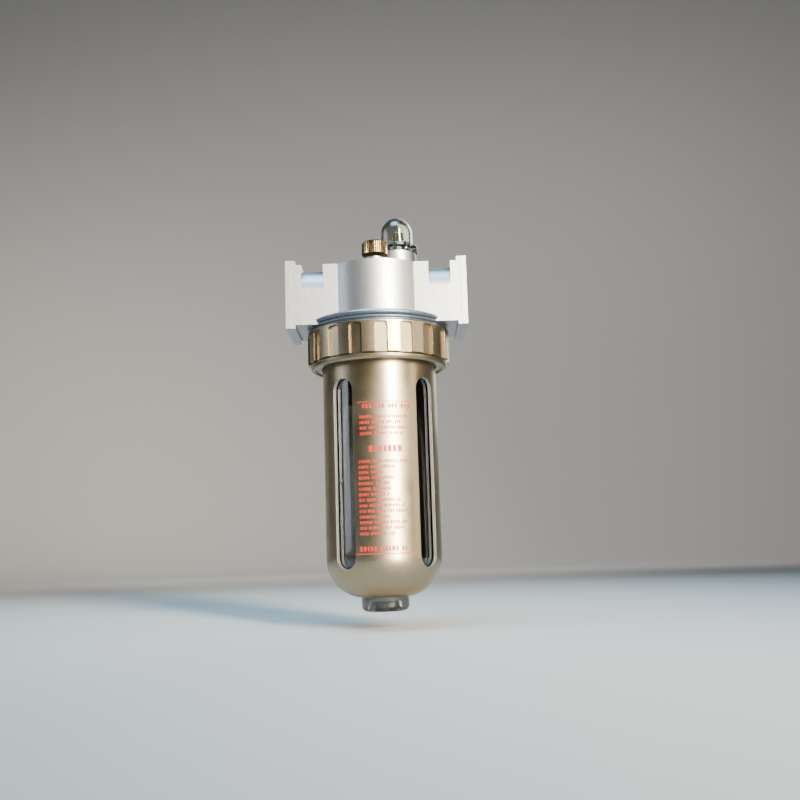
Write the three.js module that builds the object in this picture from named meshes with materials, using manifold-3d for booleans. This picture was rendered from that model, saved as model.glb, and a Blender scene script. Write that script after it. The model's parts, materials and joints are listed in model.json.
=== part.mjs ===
// A modular air-line lubricator: a die-cast head with two port wings, a clear bowl inside a slotted metal
// guard, a fluted retaining ring, a clear sight dome and a knurled drip-rate screw.
//
// Millimetres, +Z up. The origin is where the pipe line's axis (X) crosses the bowl's axis (Z). Air flows
// towards +X. The front of the lubricator faces -Y.

import * as THREE from "three";
import { mergeVertices } from "three/addons/utils/BufferGeometryUtils.js";
import Module from "manifold-3d";

const wasm = await Module();
wasm.setup();

// ---------------------------------------------------------------- driving dimensions
const GAP = 0.3; // running gap between pieces that touch
const ROUND = 36; // sides of a large circle
const BOSS_ROUND = 24; // sides of a boss and of the dome on it
const SMALL_ROUND = 16; // sides of a small circle
const HOLE_ROUND = 12; // sides of a drilled hole
const THREAD_GAP = 0.4; // running gap of a thread, and of a bore around a turning piece

const WING = { end: 41, halfDepth: 17, top: 13.8, bottom: -14.1, start: 12 };
const NOTCH = { from: 23.9, to: 33.8, top: 13, radius: 11.2 };
const FLANGE = { thickness: 3.9, halfDepth: 17.4, neckHalfDepth: 17.1, halfHeight: 15.7, step: 1.3 };
const PORT = { radius: 6.6, depth: 14, mouthBevel: 0.9 };
const AIRWAY_RADIUS = 6;

const DRUM = { radius: 24.2, bottom: -9.9, edge: 0.5 };
const BEAD = { radius: 32.2, top: -11.1, bottom: -13.3, round: 0.7, neck: 31 };
const COLLAR = { radius: 31.8, top: -13.6, bottom: -15, round: 0.4, foot: -15.4 };
const SPIGOT = { radius: 28, bottom: -24 };
const SEAL_BORE = { radius: 24.2, top: -16.5 };
const CHAMBER = { radius: 20.8, top: -9.5 };

const RING = { land: 32.7, floor: 31.4, top: -15.8, landBottom: -30.2, bottom: -33, round: 0.7 };
const FLUTE = { count: 18, halfWidth: 2.85, top: -16.9, corner: 1.4, startAngle: 3.4 };
const GUARD = { radius: 26, wall: 1.6, flangeRadius: 27.9, bottom: -136, corner: 17.5, mouth: 11.3 };
const SLOT = { width: 11, top: -39.6, bottom: -123.2, count: 4, startAngle: 51 };
const BOWL = { radius: 23.9, wall: 2.5, flangeRadius: 27.7, neckTop: -17 };
const FOOT_BOSS = { radius: 10.7, bottom: -142.1, round: 2.6, recess: 5.2, recessDepth: 4.6 };
const BOWL_SEAL = { z: -20.2, radius: 22.75, thickness: 0.95 };

const DOME_AT = { x: 9.8, y: 4 };
const DOME_BOSS = { radius: 9.3, top: 23.2, bore: 6, boreBottom: 15.5 };
const DOME = { radius: 7.8, wall: 1.5, top: 41.3, hexAcross: 17.2, hexHeight: 4.2, stemBottom: 17 };

const SCREW_AT = { x: -0.3, y: -9 };
const SCREW_BOSS = { radius: 4.7, top: 18, bore: 3.6, boreBottom: 11.4 };
const KNOB = { radius: 6.05, bottom: 18.9, top: 25.7, teeth: 30, toothDepth: 0.35 };
const NEEDLE = { radius: 1.6, tip: 8, tipRadius: 0.3, shoulder: 10.4, top: 23 };
const NEEDLE_SEAL = { bottom: 12.2, top: 13.4 };
const GLAND_BOTTOM = 14.8;
const OIL_CROSSING_Z = 9;
const VANE = { x: -3, radius: 5.2, thickness: 0.8, pinZ: 4.6, knuckle: 0.85 };
const VANE_PIN = { radius: 0.35, length: 5.8 };
const VENTURI = { x: 5.5, length: 9, mouth: 5, throat: 2.8 };
const DRIP_TUBE = { radius: 0.65, from: -0.9, bendRadius: 2, bendZ: 32.4, bottom: 19.2, tipZ: 30.8 };

const SIPHON_AT = { x: -0.3, y: 11 };
const SIPHON = { radius: 2.8, bore: 1.3, top: -13.4, bottom: -114 };
const FITTING = { shoulder: 4.2, spigot: 3, top: -3.2, stub: 1, stubBottom: -22, bore: 0.5 };
const CHECK = { bottom: -123, top: -112.5, radius: 3.9, cage: 2.1, inlet: 0.9, seat: -120.4 };
const CHECK_BALL = { radius: 1.5, z: -118.55 };
const STRAINER = { bottom: -127, taper: 1.3 };
const BAFFLE = { radius: 20.2, top: -12.6, thickness: 1.6 };
const BAFFLE_HOLES = { count: 5, circle: 12.5, start: -126, radius: 1.5 };
const BAFFLE_SCREWS = { count: 3, circle: 16, start: 30, radius: 1.4, top: -4.5 };
const BAFFLE_SCREW_HEAD = { radius: 2.6, height: 1.5, bevel: 0.5 };

// Heights that the stack under the head works out to.
const bowlFlange = { top: SPIGOT.bottom - GAP, bottom: SPIGOT.bottom - GAP - 3 };
const guardFlange = { top: bowlFlange.bottom - GAP, bottom: bowlFlange.bottom - GAP - GUARD.wall };
const slipRing = { top: guardFlange.bottom - GAP, bottom: guardFlange.bottom - GAP - 0.6 };
const ringLipTop = slipRing.bottom - GAP;
const cornerCentre = { r: GUARD.radius - GUARD.corner, z: GUARD.bottom + GUARD.corner };

// ---------------------------------------------------------------- solids from three.js geometry
function solidOf(geometry) {
  geometry.deleteAttribute("normal");
  geometry.deleteAttribute("uv");
  const merged = mergeVertices(geometry, 1e-4);
  const solid = new wasm.Manifold(
    new wasm.Mesh({
      numProp: 3,
      vertProperties: merged.attributes.position.array,
      triVerts: new Uint32Array(merged.index.array),
    }),
  );
  if (solid.volume() <= 0) throw new Error("a solid came out inside-out");
  return solid;
}

function geometryOf(solid) {
  const mesh = solid.getMesh();
  const geometry = new THREE.BufferGeometry();
  geometry.setAttribute("position", new THREE.BufferAttribute(mesh.vertProperties, 3));
  geometry.setIndex(new THREE.BufferAttribute(mesh.triVerts, 1));
  geometry.computeVertexNormals();
  return geometry;
}

// A body of revolution about Z from [radius, height] points, which start and end on the axis or form a loop.
function turned(profile, sides = ROUND) {
  const points = profile.map(([r, z]) => new THREE.Vector2(r, z));
  if (THREE.ShapeUtils.area(points) < 0) points.reverse();
  const isLoop = points[0].x > 0 || points[points.length - 1].x > 0;
  if (isLoop) points.push(points[0].clone());
  return solidOf(new THREE.LatheGeometry(points, sides).rotateX(Math.PI / 2));
}

// A tube or washer about Z.
function sleeve(outer, inner, bottom, top, sides = ROUND) {
  return turned([[inner, bottom], [outer, bottom], [outer, top], [inner, top]], sides);
}

// A solid cylinder about Z.
function rod(radius, bottom, top, sides = SMALL_ROUND) {
  return turned([[0, bottom], [radius, bottom], [radius, top], [0, top]], sides);
}

// A straight drilling between two points.
function drilling(from, to, radius, sides = HOLE_ROUND) {
  const start = new THREE.Vector3(...from);
  const run = new THREE.Vector3(...to).sub(start);
  const geometry = new THREE.CylinderGeometry(radius, radius, run.length(), sides);
  const turn = new THREE.Quaternion().setFromUnitVectors(new THREE.Vector3(0, 1, 0), run.clone().normalize());
  geometry.applyQuaternion(turn);
  geometry.translate(...start.addScaledVector(run, 0.5).toArray());
  return solidOf(geometry);
}

// A flat outline pushed up Z from `bottom` to `top`.
function pushedUp(shape, bottom, top) {
  const geometry = new THREE.ExtrudeGeometry(shape, { depth: top - bottom, bevelEnabled: false });
  return solidOf(geometry.translate(0, 0, bottom));
}

// A flat outline drawn in Y and Z, pushed along X from `from` to `to`.
function pushedAlongX(shape, from, to, curveSegments = 8) {
  const geometry = new THREE.ExtrudeGeometry(shape, { depth: to - from, bevelEnabled: false, curveSegments });
  const toYZ = new THREE.Matrix4().makeBasis(
    new THREE.Vector3(0, 1, 0),
    new THREE.Vector3(0, 0, 1),
    new THREE.Vector3(1, 0, 0),
  );
  return solidOf(geometry.applyMatrix4(toYZ).translate(from, 0, 0));
}

// An O-ring about Z: a torus, as a turned circle.
function oRing(radius, thickness, z, sides = ROUND) {
  const section = Array.from({ length: 6 }, (_, i) => {
    const a = (2 * Math.PI * i) / 6;
    return [radius + thickness * Math.cos(a), z + thickness * Math.sin(a)];
  });
  return turned(section, sides);
}

// Points of a quarter arc from straight out (angle 0) to straight down.
function downwardArc(centre, radius, steps, endRadius = centre.r) {
  const end = Math.acos(THREE.MathUtils.clamp((endRadius - centre.r) / radius, 0, 1));
  return Array.from({ length: steps + 1 }, (_, i) => {
    const a = (end * i) / steps;
    return [centre.r + radius * Math.cos(a), centre.z - radius * Math.sin(a)];
  });
}

function finish(color, metalness, roughness, extra = {}) {
  return new THREE.MeshStandardMaterial({ color, metalness, roughness, ...extra });
}

const silverPaint = finish(0xc6c4c0, 0.75, 0.42);
const guardPaint = finish(0xb9b2a3, 0.8, 0.4);
const brass = finish(0xb08d57, 1, 0.35);
const steel = finish(0xc8c8c8, 1, 0.25);
const blackRubber = finish(0x1c1c1c, 0, 0.8);
const whitePlastic = finish(0xe4e2dc, 0, 0.5);
const greyPlastic = finish(0x4a4c50, 0, 0.55);
const clearPlastic = finish(0xe6ecec, 0, 0.08, { transparent: true, opacity: 0.35 });

function piece(name, solid, material) {
  const mesh = new THREE.Mesh(geometryOf(solid), material);
  mesh.name = name;
  return mesh;
}

// ---------------------------------------------------------------- the head
function rectangle(halfWidth, bottom, top) {
  const shape = new THREE.Shape();
  shape.moveTo(-halfWidth, bottom);
  shape.lineTo(halfWidth, bottom);
  shape.lineTo(halfWidth, top);
  shape.lineTo(-halfWidth, top);
  shape.closePath();
  return shape;
}

// The wing's section inside the notches, where both upper corners are rounded away.
function notchedSection() {
  const { halfDepth, bottom } = WING;
  const { top, radius: r } = NOTCH;
  const shape = new THREE.Shape();
  shape.moveTo(-halfDepth, bottom);
  shape.lineTo(halfDepth, bottom);
  shape.lineTo(halfDepth, top - r);
  shape.absarc(halfDepth - r, top - r, r, 0, Math.PI / 2, false);
  shape.absarc(-halfDepth + r, top - r, r, Math.PI / 2, Math.PI, false);
  shape.closePath();
  return shape;
}

// One wing towards +X (side 1) or -X (side -1), with its two posts and its end flange.
function wing(side) {
  const span = (from, to) => (side > 0 ? [from, to] : [-to, -from]);
  const plain = rectangle(WING.halfDepth, WING.bottom, WING.top);
  const flangeFace = rectangle(FLANGE.halfDepth, -FLANGE.halfHeight, FLANGE.halfHeight);
  const flangeNeck = rectangle(FLANGE.neckHalfDepth, -FLANGE.halfHeight, FLANGE.halfHeight);
  const flangeStart = WING.end - FLANGE.thickness;
  return pushedAlongX(notchedSection(), ...span(NOTCH.from - 1, NOTCH.to + 1))
    .add(pushedAlongX(plain, ...span(WING.start, NOTCH.from)))
    .add(pushedAlongX(plain, ...span(NOTCH.to, flangeStart + 1)))
    .add(pushedAlongX(flangeNeck, ...span(flangeStart, WING.end - 1)))
    .add(pushedAlongX(flangeFace, ...span(flangeStart + FLANGE.step, WING.end)));
}

function portBore(side) {
  const mouth = side * WING.end;
  const bore = drilling([mouth + side, 0, 0], [mouth - side * PORT.depth, 0, 0], PORT.radius, SMALL_ROUND);
  const bevel = new THREE.CylinderGeometry(
    PORT.radius + PORT.mouthBevel,
    PORT.radius,
    PORT.mouthBevel,
    SMALL_ROUND,
  );
  bevel.rotateZ(side > 0 ? -Math.PI / 2 : Math.PI / 2);
  bevel.translate(mouth - side * (PORT.mouthBevel / 2 - 0.01), 0, 0);
  return bore.add(solidOf(bevel));
}

function circlePlaces({ count, circle, start }) {
  return Array.from({ length: count }, (_, i) => {
    const a = THREE.MathUtils.degToRad(start) + (2 * Math.PI * i) / count;
    return { x: circle * Math.cos(a), y: circle * Math.sin(a) };
  });
}

const baffleScrewPlaces = circlePlaces(BAFFLE_SCREWS);

// The small drillings that carry oil and air through the head, as [from, to, radius].
function passages() {
  const siphonTop = [SIPHON_AT.x, SIPHON_AT.y];
  const needle = [SCREW_AT.x, SCREW_AT.y];
  const crossing = OIL_CROSSING_Z;
  return [
    // Oil rises from the siphon, crosses to the needle, passes up to the dome and drips into the airway.
    [[...siphonTop, -4], [...siphonTop, crossing + 0.6], 1],
    [[SIPHON_AT.x, DRUM.radius + 1, crossing], [...needle, crossing], 1],
    [[...needle, crossing + 0.5], [DOME_AT.x - 3, DOME_AT.y - 3, DOME_BOSS.boreBottom + 0.7], 0.8],
    [[DOME_AT.x, DOME_AT.y, DOME.stemBottom], [DOME_AT.x, DOME_AT.y - 3, 2], 1.2],
    // Air presses on the oil through one hole, and mist from the bowl joins the line through the other.
    [[-12, 0, -3], [-12, 0, -11], 1],
    [[9, 0, -3], [9, 0, -11], 1.6],
  ];
}

function headCasting() {
  const outer = turned([
    [0, WING.top],
    [DRUM.radius - DRUM.edge, WING.top],
    [DRUM.radius, WING.top - DRUM.edge],
    [DRUM.radius, DRUM.bottom],
    [BEAD.radius - BEAD.round, BEAD.top],
    [BEAD.radius, BEAD.top - BEAD.round],
    [BEAD.radius, BEAD.bottom + BEAD.round],
    [BEAD.radius - BEAD.round, BEAD.bottom],
    [BEAD.neck, BEAD.bottom],
    [BEAD.neck, COLLAR.top],
    [COLLAR.radius - COLLAR.round, COLLAR.top],
    [COLLAR.radius, COLLAR.top - COLLAR.round],
    [COLLAR.radius, COLLAR.bottom + COLLAR.round],
    [COLLAR.radius - COLLAR.round, COLLAR.bottom],
    [BEAD.neck, COLLAR.bottom],
    [BEAD.neck, COLLAR.foot],
    [SPIGOT.radius, COLLAR.foot],
    [SPIGOT.radius, SPIGOT.bottom],
    [0, SPIGOT.bottom],
  ]);
  const below = SPIGOT.bottom - 1;
  const chamber = turned([
    [0, CHAMBER.top],
    [CHAMBER.radius, CHAMBER.top],
    [CHAMBER.radius, SEAL_BORE.top],
    [SEAL_BORE.radius, SEAL_BORE.top],
    [SEAL_BORE.radius, below],
    [0, below],
  ]);
  const at = (solid, { x, y }) => solid.translate(x, y, 0);
  const domeBoss = rod(DOME_BOSS.radius, WING.top - 1, DOME_BOSS.top, BOSS_ROUND);
  const screwBoss = rod(SCREW_BOSS.radius, WING.top - 1, SCREW_BOSS.top);
  const domeBore = rod(DOME_BOSS.bore, DOME_BOSS.boreBottom, DOME_BOSS.top + 1, BOSS_ROUND);
  const screwBore = rod(SCREW_BOSS.bore, SCREW_BOSS.boreBottom, SCREW_BOSS.top + 1);
  const needleWell = rod(NEEDLE.radius + GAP, NEEDLE.tip - 1, SCREW_BOSS.boreBottom + 0.5);
  const riser = rod(FITTING.spigot + GAP, CHAMBER.top - 1, FITTING.top + 0.5);

  let casting = outer.add(wing(1)).add(wing(-1)).add(at(domeBoss, DOME_AT)).add(at(screwBoss, SCREW_AT));
  casting = casting
    .subtract(chamber)
    .subtract(drilling([-WING.end + 1, 0, 0], [WING.end - 1, 0, 0], AIRWAY_RADIUS, SMALL_ROUND))
    .subtract(portBore(1))
    .subtract(portBore(-1))
    .subtract(at(domeBore, DOME_AT))
    .subtract(at(screwBore, SCREW_AT))
    .subtract(at(needleWell, SCREW_AT))
    .subtract(at(riser, SIPHON_AT));
  for (const [from, to, radius] of passages()) casting = casting.subtract(drilling(from, to, radius));
  const screwHole = rod(BAFFLE_SCREWS.radius + GAP, CHAMBER.top - 1, BAFFLE_SCREWS.top, HOLE_ROUND);
  for (const place of baffleScrewPlaces) casting = casting.subtract(at(screwHole, place));
  return piece("head_casting", casting, silverPaint);
}

// A pressed plug closes the cross drilling at the back of the drum.
function passagePlug() {
  const back = DRUM.radius - 0.4;
  const plug = drilling([SIPHON_AT.x, back, OIL_CROSSING_Z], [SIPHON_AT.x, back - 3, OIL_CROSSING_Z], 0.7);
  return piece("oil_passage_plug", plug, steel);
}

// ---------------------------------------------------------------- inside the airway
// The flap that makes the pressure drop which lifts the oil. It swings on a pin above the airway's axis.
function damperVane() {
  const disc = drilling([-VANE.thickness / 2, 0, 0], [VANE.thickness / 2, 0, 0], VANE.radius, SMALL_ROUND);
  const knuckle = drilling([0, -1.3, VANE.pinZ], [0, 1.3, VANE.pinZ], VANE.knuckle);
  const pinHole = drilling([0, -3, VANE.pinZ], [0, 3, VANE.pinZ], VANE_PIN.radius + GAP);
  const topCut = pushedAlongX(rectangle(VANE.radius + 1, VANE.pinZ - 0.4, AIRWAY_RADIUS + 1), -1, 1);
  const vane = disc.subtract(topCut).add(knuckle).subtract(pinHole);
  const mesh = piece("damper_vane", vane, blackRubber);
  mesh.position.x = VANE.x;
  return mesh;
}

function vanePin() {
  const half = VANE_PIN.length / 2;
  const mesh = piece("vane_pin", drilling([0, -half, 0], [0, half, 0], VANE_PIN.radius), steel);
  mesh.position.set(VANE.x, 0, VANE.pinZ);
  return mesh;
}

// A plastic insert with a narrowing throat, pressed into the airway under the drip hole.
function venturiInsert() {
  const outer = AIRWAY_RADIUS - GAP;
  const { length, mouth, throat } = VENTURI;
  const middle = length / 2;
  const body = turned(
    [[mouth, 0], [outer, 0], [outer, length], [mouth, length], [throat, middle + 1], [throat, middle - 1]],
    SMALL_ROUND,
  );
  // The body is turned upright, so -X here is the side that faces up once it lies in the airway.
  const dripHole = drilling([0, 0, middle], [-outer - 1, 0, middle], 1.3);
  const mesh = piece("venturi_insert", body.subtract(dripHole), whitePlastic);
  mesh.rotation.y = Math.PI / 2;
  mesh.position.x = VENTURI.x;
  return mesh;
}

// ---------------------------------------------------------------- sight dome
// A gooseneck that lets the drop fall in plain sight into the funnel.
function dripTube() {
  const { radius, from, bendRadius, bendZ, bottom, tipZ } = DRIP_TUBE;
  const to = from + 2 * bendRadius;
  const point = (x, z) => new THREE.Vector3(x, 0, z);
  const bend = Array.from({ length: 7 }, (_, i) => {
    const a = Math.PI - (Math.PI * i) / 6;
    return point(from + bendRadius + bendRadius * Math.cos(a), bendZ + bendRadius * Math.sin(a));
  });
  const path = new THREE.CurvePath();
  path.add(new THREE.LineCurve3(point(from, bottom), point(from, bendZ)));
  path.add(new THREE.CatmullRomCurve3(bend));
  path.add(new THREE.LineCurve3(point(to, bendZ), point(to, tipZ)));
  const section = new THREE.Shape().absarc(0, 0, radius, 0, 2 * Math.PI);
  const options = { steps: 14, curveSegments: 3, extrudePath: path, bevelEnabled: false };
  return solidOf(new THREE.ExtrudeGeometry(section, options));
}

function sightDomeGroup() {
  const group = new THREE.Group();
  group.position.set(DOME_AT.x, DOME_AT.y, 0);
  const hexBottom = DOME_BOSS.top + GAP;
  const hexTop = hexBottom + DOME.hexHeight;
  const inner = DOME.radius - DOME.wall;
  const centre = DOME.top - DOME.radius;
  const stem = DOME_BOSS.bore - GAP;
  const cap = (radius) =>
    Array.from({ length: 6 }, (_, i) => {
      const a = (Math.PI / 2) * (i / 5);
      return [radius * Math.cos(a), centre + radius * Math.sin(a)];
    });
  const shell = turned(
    [
      [stem, DOME.stemBottom],
      [stem, hexBottom],
      [DOME.radius, hexBottom],
      ...cap(DOME.radius),
      [0, DOME.stemBottom],
    ],
    BOSS_ROUND,
  );
  const hollowFoot = DOME.stemBottom - 1;
  const hollow = turned(
    [[0, hollowFoot], [stem - 1.4, hollowFoot], [stem - 1.4, hexTop - 1], ...cap(inner)],
    BOSS_ROUND,
  );
  const hexShape = new THREE.Shape(
    Array.from({ length: 6 }, (_, i) => {
      const a = (Math.PI / 3) * i;
      const r = DOME.hexAcross / Math.sqrt(3);
      return new THREE.Vector2(r * Math.cos(a), r * Math.sin(a));
    }),
  );
  const hex = pushedUp(hexShape, hexBottom, hexTop);
  group.add(piece("sight_dome", shell.add(hex).subtract(hollow), clearPlastic));

  const sealTop = DOME.stemBottom - GAP;
  const seal = sleeve(stem, stem - 1.2, DOME_BOSS.boreBottom + GAP, sealTop, BOSS_ROUND);
  group.add(piece("sight_dome_seal", seal, blackRubber));

  const funnel = turned([[1.6, 18.6], [2.9, 18.6], [4, 24.4], [3.6, 24.4], [1.6, 19.4]], SMALL_ROUND);
  group.add(piece("drip_funnel", funnel, whitePlastic));
  group.add(piece("drip_tube", dripTube(), brass));
  return group;
}

// ---------------------------------------------------------------- drip-rate screw
function dripScrewGroup() {
  const group = new THREE.Group();
  group.position.set(SCREW_AT.x, SCREW_AT.y, 0);
  const outer = SCREW_BOSS.bore - GAP;
  const inner = NEEDLE.radius + GAP;
  const gland = sleeve(outer, inner, GLAND_BOTTOM, SCREW_BOSS.top - GAP, SMALL_ROUND);
  group.add(piece("needle_gland", gland, brass));
  const seal = sleeve(outer, inner, NEEDLE_SEAL.bottom, NEEDLE_SEAL.top, SMALL_ROUND);
  group.add(piece("needle_seal", seal, blackRubber));

  const { tip, tipRadius, shoulder, radius, top } = NEEDLE;
  const needle = turned(
    [[0, tip], [tipRadius, tip], [radius, shoulder], [radius, top], [0, top]],
    SMALL_ROUND,
  );
  group.add(piece("adjusting_needle", needle, brass));

  const knurl = new THREE.Shape(
    Array.from({ length: KNOB.teeth * 2 }, (_, i) => {
      const a = (Math.PI * i) / KNOB.teeth;
      const r = KNOB.radius - (i % 2 ? KNOB.toothDepth : 0);
      return new THREE.Vector2(r * Math.cos(a), r * Math.sin(a));
    }),
  );
  const edges = turned(
    [
      [0, KNOB.bottom],
      [KNOB.radius - 1.1, KNOB.bottom],
      [KNOB.radius + 0.1, KNOB.bottom + 1],
      [KNOB.radius + 0.1, KNOB.top - 0.8],
      [KNOB.radius - 0.9, KNOB.top],
      [0, KNOB.top],
    ],
    KNOB.teeth,
  );
  const stemBore = rod(NEEDLE.radius + GAP, KNOB.bottom - 1, NEEDLE.top + GAP);
  const knob = pushedUp(knurl, KNOB.bottom, KNOB.top).intersect(edges).subtract(stemBore);
  group.add(piece("adjusting_knob", knob, brass));
  return group;
}

// ---------------------------------------------------------------- baffle and siphon
function baffleScrew(headTop) {
  const { radius: head, height, bevel } = BAFFLE_SCREW_HEAD;
  const { radius, top } = BAFFLE_SCREWS;
  return turned(
    [
      [0, headTop - height],
      [head - bevel, headTop - height],
      [head, headTop - height + bevel],
      [head, headTop],
      [radius, headTop],
      [radius, top - GAP],
      [0, top - GAP],
    ],
    SMALL_ROUND,
  );
}

function baffleGroup() {
  const group = new THREE.Group();
  const bottom = BAFFLE.top - BAFFLE.thickness;
  const hole = (radius) => rod(radius, bottom - 1, BAFFLE.top + 1, HOLE_ROUND);
  let plate = rod(BAFFLE.radius, bottom, BAFFLE.top, ROUND);
  plate = plate.subtract(hole(FITTING.shoulder + 0.7).translate(SIPHON_AT.x, SIPHON_AT.y, 0));
  for (const { x, y } of circlePlaces(BAFFLE_HOLES))
    plate = plate.subtract(hole(BAFFLE_HOLES.radius).translate(x, y, 0));
  for (const { x, y } of baffleScrewPlaces)
    plate = plate.subtract(hole(BAFFLE_SCREWS.radius + GAP).translate(x, y, 0));
  group.add(piece("baffle_plate", plate, greyPlastic));
  baffleScrewPlaces.forEach(({ x, y }, i) => {
    const mesh = piece("baffle_screw_" + (i + 1), baffleScrew(bottom - GAP), steel);
    mesh.position.set(x, y, 0);
    group.add(mesh);
  });
  return group;
}

// The brass fitting in the head, with the stub that the siphon tube is pushed onto.
function siphonFitting() {
  const { shoulder, spigot, top, stub, stubBottom, bore } = FITTING;
  return turned(
    [
      [bore, stubBottom],
      [bore + 0.3, stubBottom],
      [stub, stubBottom + 2],
      [stub, SIPHON.top + GAP],
      [shoulder, SIPHON.top + GAP],
      [shoulder, CHAMBER.top - GAP],
      [spigot, CHAMBER.top - GAP],
      [spigot, top],
      [bore, top],
    ],
    SMALL_ROUND,
  );
}

// The body of the check valve at the tube's foot, with a coned seat for its ball.
function checkValveBody() {
  const { bottom, top, radius, cage, inlet, seat } = CHECK;
  const tubeBore = SIPHON.radius + GAP;
  return turned(
    [
      [inlet, bottom],
      [radius, bottom],
      [radius, top - 0.6],
      [radius - 0.6, top],
      [tubeBore, top],
      [tubeBore, SIPHON.bottom - GAP],
      [cage, SIPHON.bottom - GAP],
      [cage, seat + 0.6],
      [inlet, seat - 0.6],
    ],
    SMALL_ROUND,
  );
}

function siphonGroup() {
  const group = new THREE.Group();
  group.position.set(SIPHON_AT.x, SIPHON_AT.y, 0);
  group.add(piece("siphon_fitting", siphonFitting(), brass));
  const tube = sleeve(SIPHON.radius, SIPHON.bore, SIPHON.bottom, SIPHON.top, SMALL_ROUND);
  group.add(piece("siphon_tube", tube, clearPlastic));
  group.add(piece("check_valve_body", checkValveBody(), brass));
  const ball = new THREE.SphereGeometry(CHECK_BALL.radius, 12, 8).rotateX(Math.PI / 2);
  const ballMesh = piece("check_ball", solidOf(ball), steel);
  ballMesh.position.z = CHECK_BALL.z;
  group.add(ballMesh);
  const { radius } = CHECK;
  const { bottom, taper } = STRAINER;
  const top = CHECK.bottom - GAP;
  const strainer = turned(
    [[0, bottom], [radius - taper, bottom], [radius, bottom + 1], [radius, top], [0, top]],
    SMALL_ROUND,
  );
  group.add(piece("siphon_strainer", strainer, brass));
  return group;
}

// ---------------------------------------------------------------- bowl, guard and retaining ring
function clearBowl() {
  const outerCorner = BOWL.radius - cornerCentre.r;
  const inner = BOWL.radius - BOWL.wall;
  const innerCorner = outerCorner - BOWL.wall;
  const grooveFloor = BOWL_SEAL.radius - BOWL_SEAL.thickness - 0.2;
  const grooveHalf = BOWL_SEAL.thickness + 0.35;
  const { radius: foot, bottom, round, recess, recessDepth } = FOOT_BOSS;
  const outer = turned([
    [0, BOWL.neckTop],
    [BOWL.radius - 0.4, BOWL.neckTop],
    [BOWL.radius, BOWL.neckTop - 0.4],
    [BOWL.radius, BOWL_SEAL.z + grooveHalf],
    [grooveFloor, BOWL_SEAL.z + grooveHalf],
    [grooveFloor, BOWL_SEAL.z - grooveHalf],
    [BOWL.radius, BOWL_SEAL.z - grooveHalf],
    [BOWL.radius, bowlFlange.top],
    [BOWL.flangeRadius, bowlFlange.top],
    [BOWL.flangeRadius, bowlFlange.bottom],
    [BOWL.radius, bowlFlange.bottom],
    ...downwardArc(cornerCentre, outerCorner, 6, foot),
    [foot, bottom + round],
    [foot - round * 0.3, bottom + round * 0.3],
    [foot - round, bottom],
    [recess, bottom],
    [recess - 0.6, bottom + recessDepth],
    [0, bottom + recessDepth],
  ]);
  const cavity = turned([
    [0, BOWL.neckTop + 1],
    [inner - 1.4, BOWL.neckTop + 1],
    [inner - 1.4, BOWL_SEAL.z - 3],
    [inner, BOWL_SEAL.z - 5],
    ...downwardArc(cornerCentre, innerCorner, 4),
    [0, cornerCentre.z - innerCorner],
  ]);
  return piece("bowl", outer.subtract(cavity), clearPlastic);
}

// One long window with round ends, as a bar that reaches from the axis out through the guard's wall.
function slotCutter(angle) {
  const half = SLOT.width / 2;
  const shape = new THREE.Shape();
  shape.moveTo(half, SLOT.top - half);
  shape.absarc(0, SLOT.top - half, half, 0, Math.PI, false);
  shape.absarc(0, SLOT.bottom + half, half, Math.PI, 2 * Math.PI, false);
  shape.closePath();
  const bar = pushedAlongX(shape, 5, GUARD.radius + 5, 5);
  return bar.rotate(0, 0, angle);
}

function bowlGuard() {
  const inner = GUARD.radius - GUARD.wall;
  const innerCorner = GUARD.corner - GUARD.wall;
  const outerArc = downwardArc(cornerCentre, GUARD.corner, 6, GUARD.mouth);
  const innerArc = downwardArc(cornerCentre, innerCorner, 6, GUARD.mouth).reverse();
  let shell = turned([
    [inner, guardFlange.top],
    [GUARD.flangeRadius, guardFlange.top],
    [GUARD.flangeRadius, guardFlange.bottom],
    [GUARD.radius, guardFlange.bottom],
    ...outerArc,
    ...innerArc,
  ]);
  for (let i = 0; i < SLOT.count; i++)
    shell = shell.subtract(slotCutter(SLOT.startAngle + (360 / SLOT.count) * i));
  return piece("bowl_guard", shell, guardPaint);
}

function retainingRing() {
  const threadBore = SPIGOT.radius + THREAD_GAP;
  const lipBore = GUARD.radius + THREAD_GAP;
  const { land, floor, top, landBottom, bottom, round } = RING;
  let ring = turned([
    [threadBore, top],
    [land - 0.5, top],
    [land, top - 0.5],
    [land, landBottom],
    [floor, landBottom],
    [floor, bottom + round],
    [floor - round, bottom],
    [floor - 2, bottom],
    [floor - 2.2, bottom + round],
    [lipBore, bottom + round],
    [lipBore, ringLipTop],
    [threadBore, ringLipTop],
  ]);
  // Each flute is a pocket open at the bottom, with rounded upper corners.
  const half = FLUTE.halfWidth;
  const shape = new THREE.Shape();
  shape.moveTo(-half, landBottom - 0.01);
  shape.lineTo(half, landBottom - 0.01);
  shape.lineTo(half, FLUTE.top - FLUTE.corner);
  shape.absarc(half - FLUTE.corner, FLUTE.top - FLUTE.corner, FLUTE.corner, 0, Math.PI / 2, false);
  shape.absarc(-half + FLUTE.corner, FLUTE.top - FLUTE.corner, FLUTE.corner, Math.PI / 2, Math.PI, false);
  shape.closePath();
  const pocket = pushedAlongX(shape, floor, land + 1, 3);
  for (let i = 0; i < FLUTE.count; i++)
    ring = ring.subtract(pocket.rotate(0, 0, -90 + FLUTE.startAngle + (360 / FLUTE.count) * i));
  return piece("retaining_ring", ring, guardPaint);
}

// ---------------------------------------------------------------- assembly
const head = new THREE.Group();
head.add(headCasting(), passagePlug(), damperVane(), vanePin(), venturiInsert());
head.add(sightDomeGroup(), dripScrewGroup(), baffleGroup(), siphonGroup());

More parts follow.
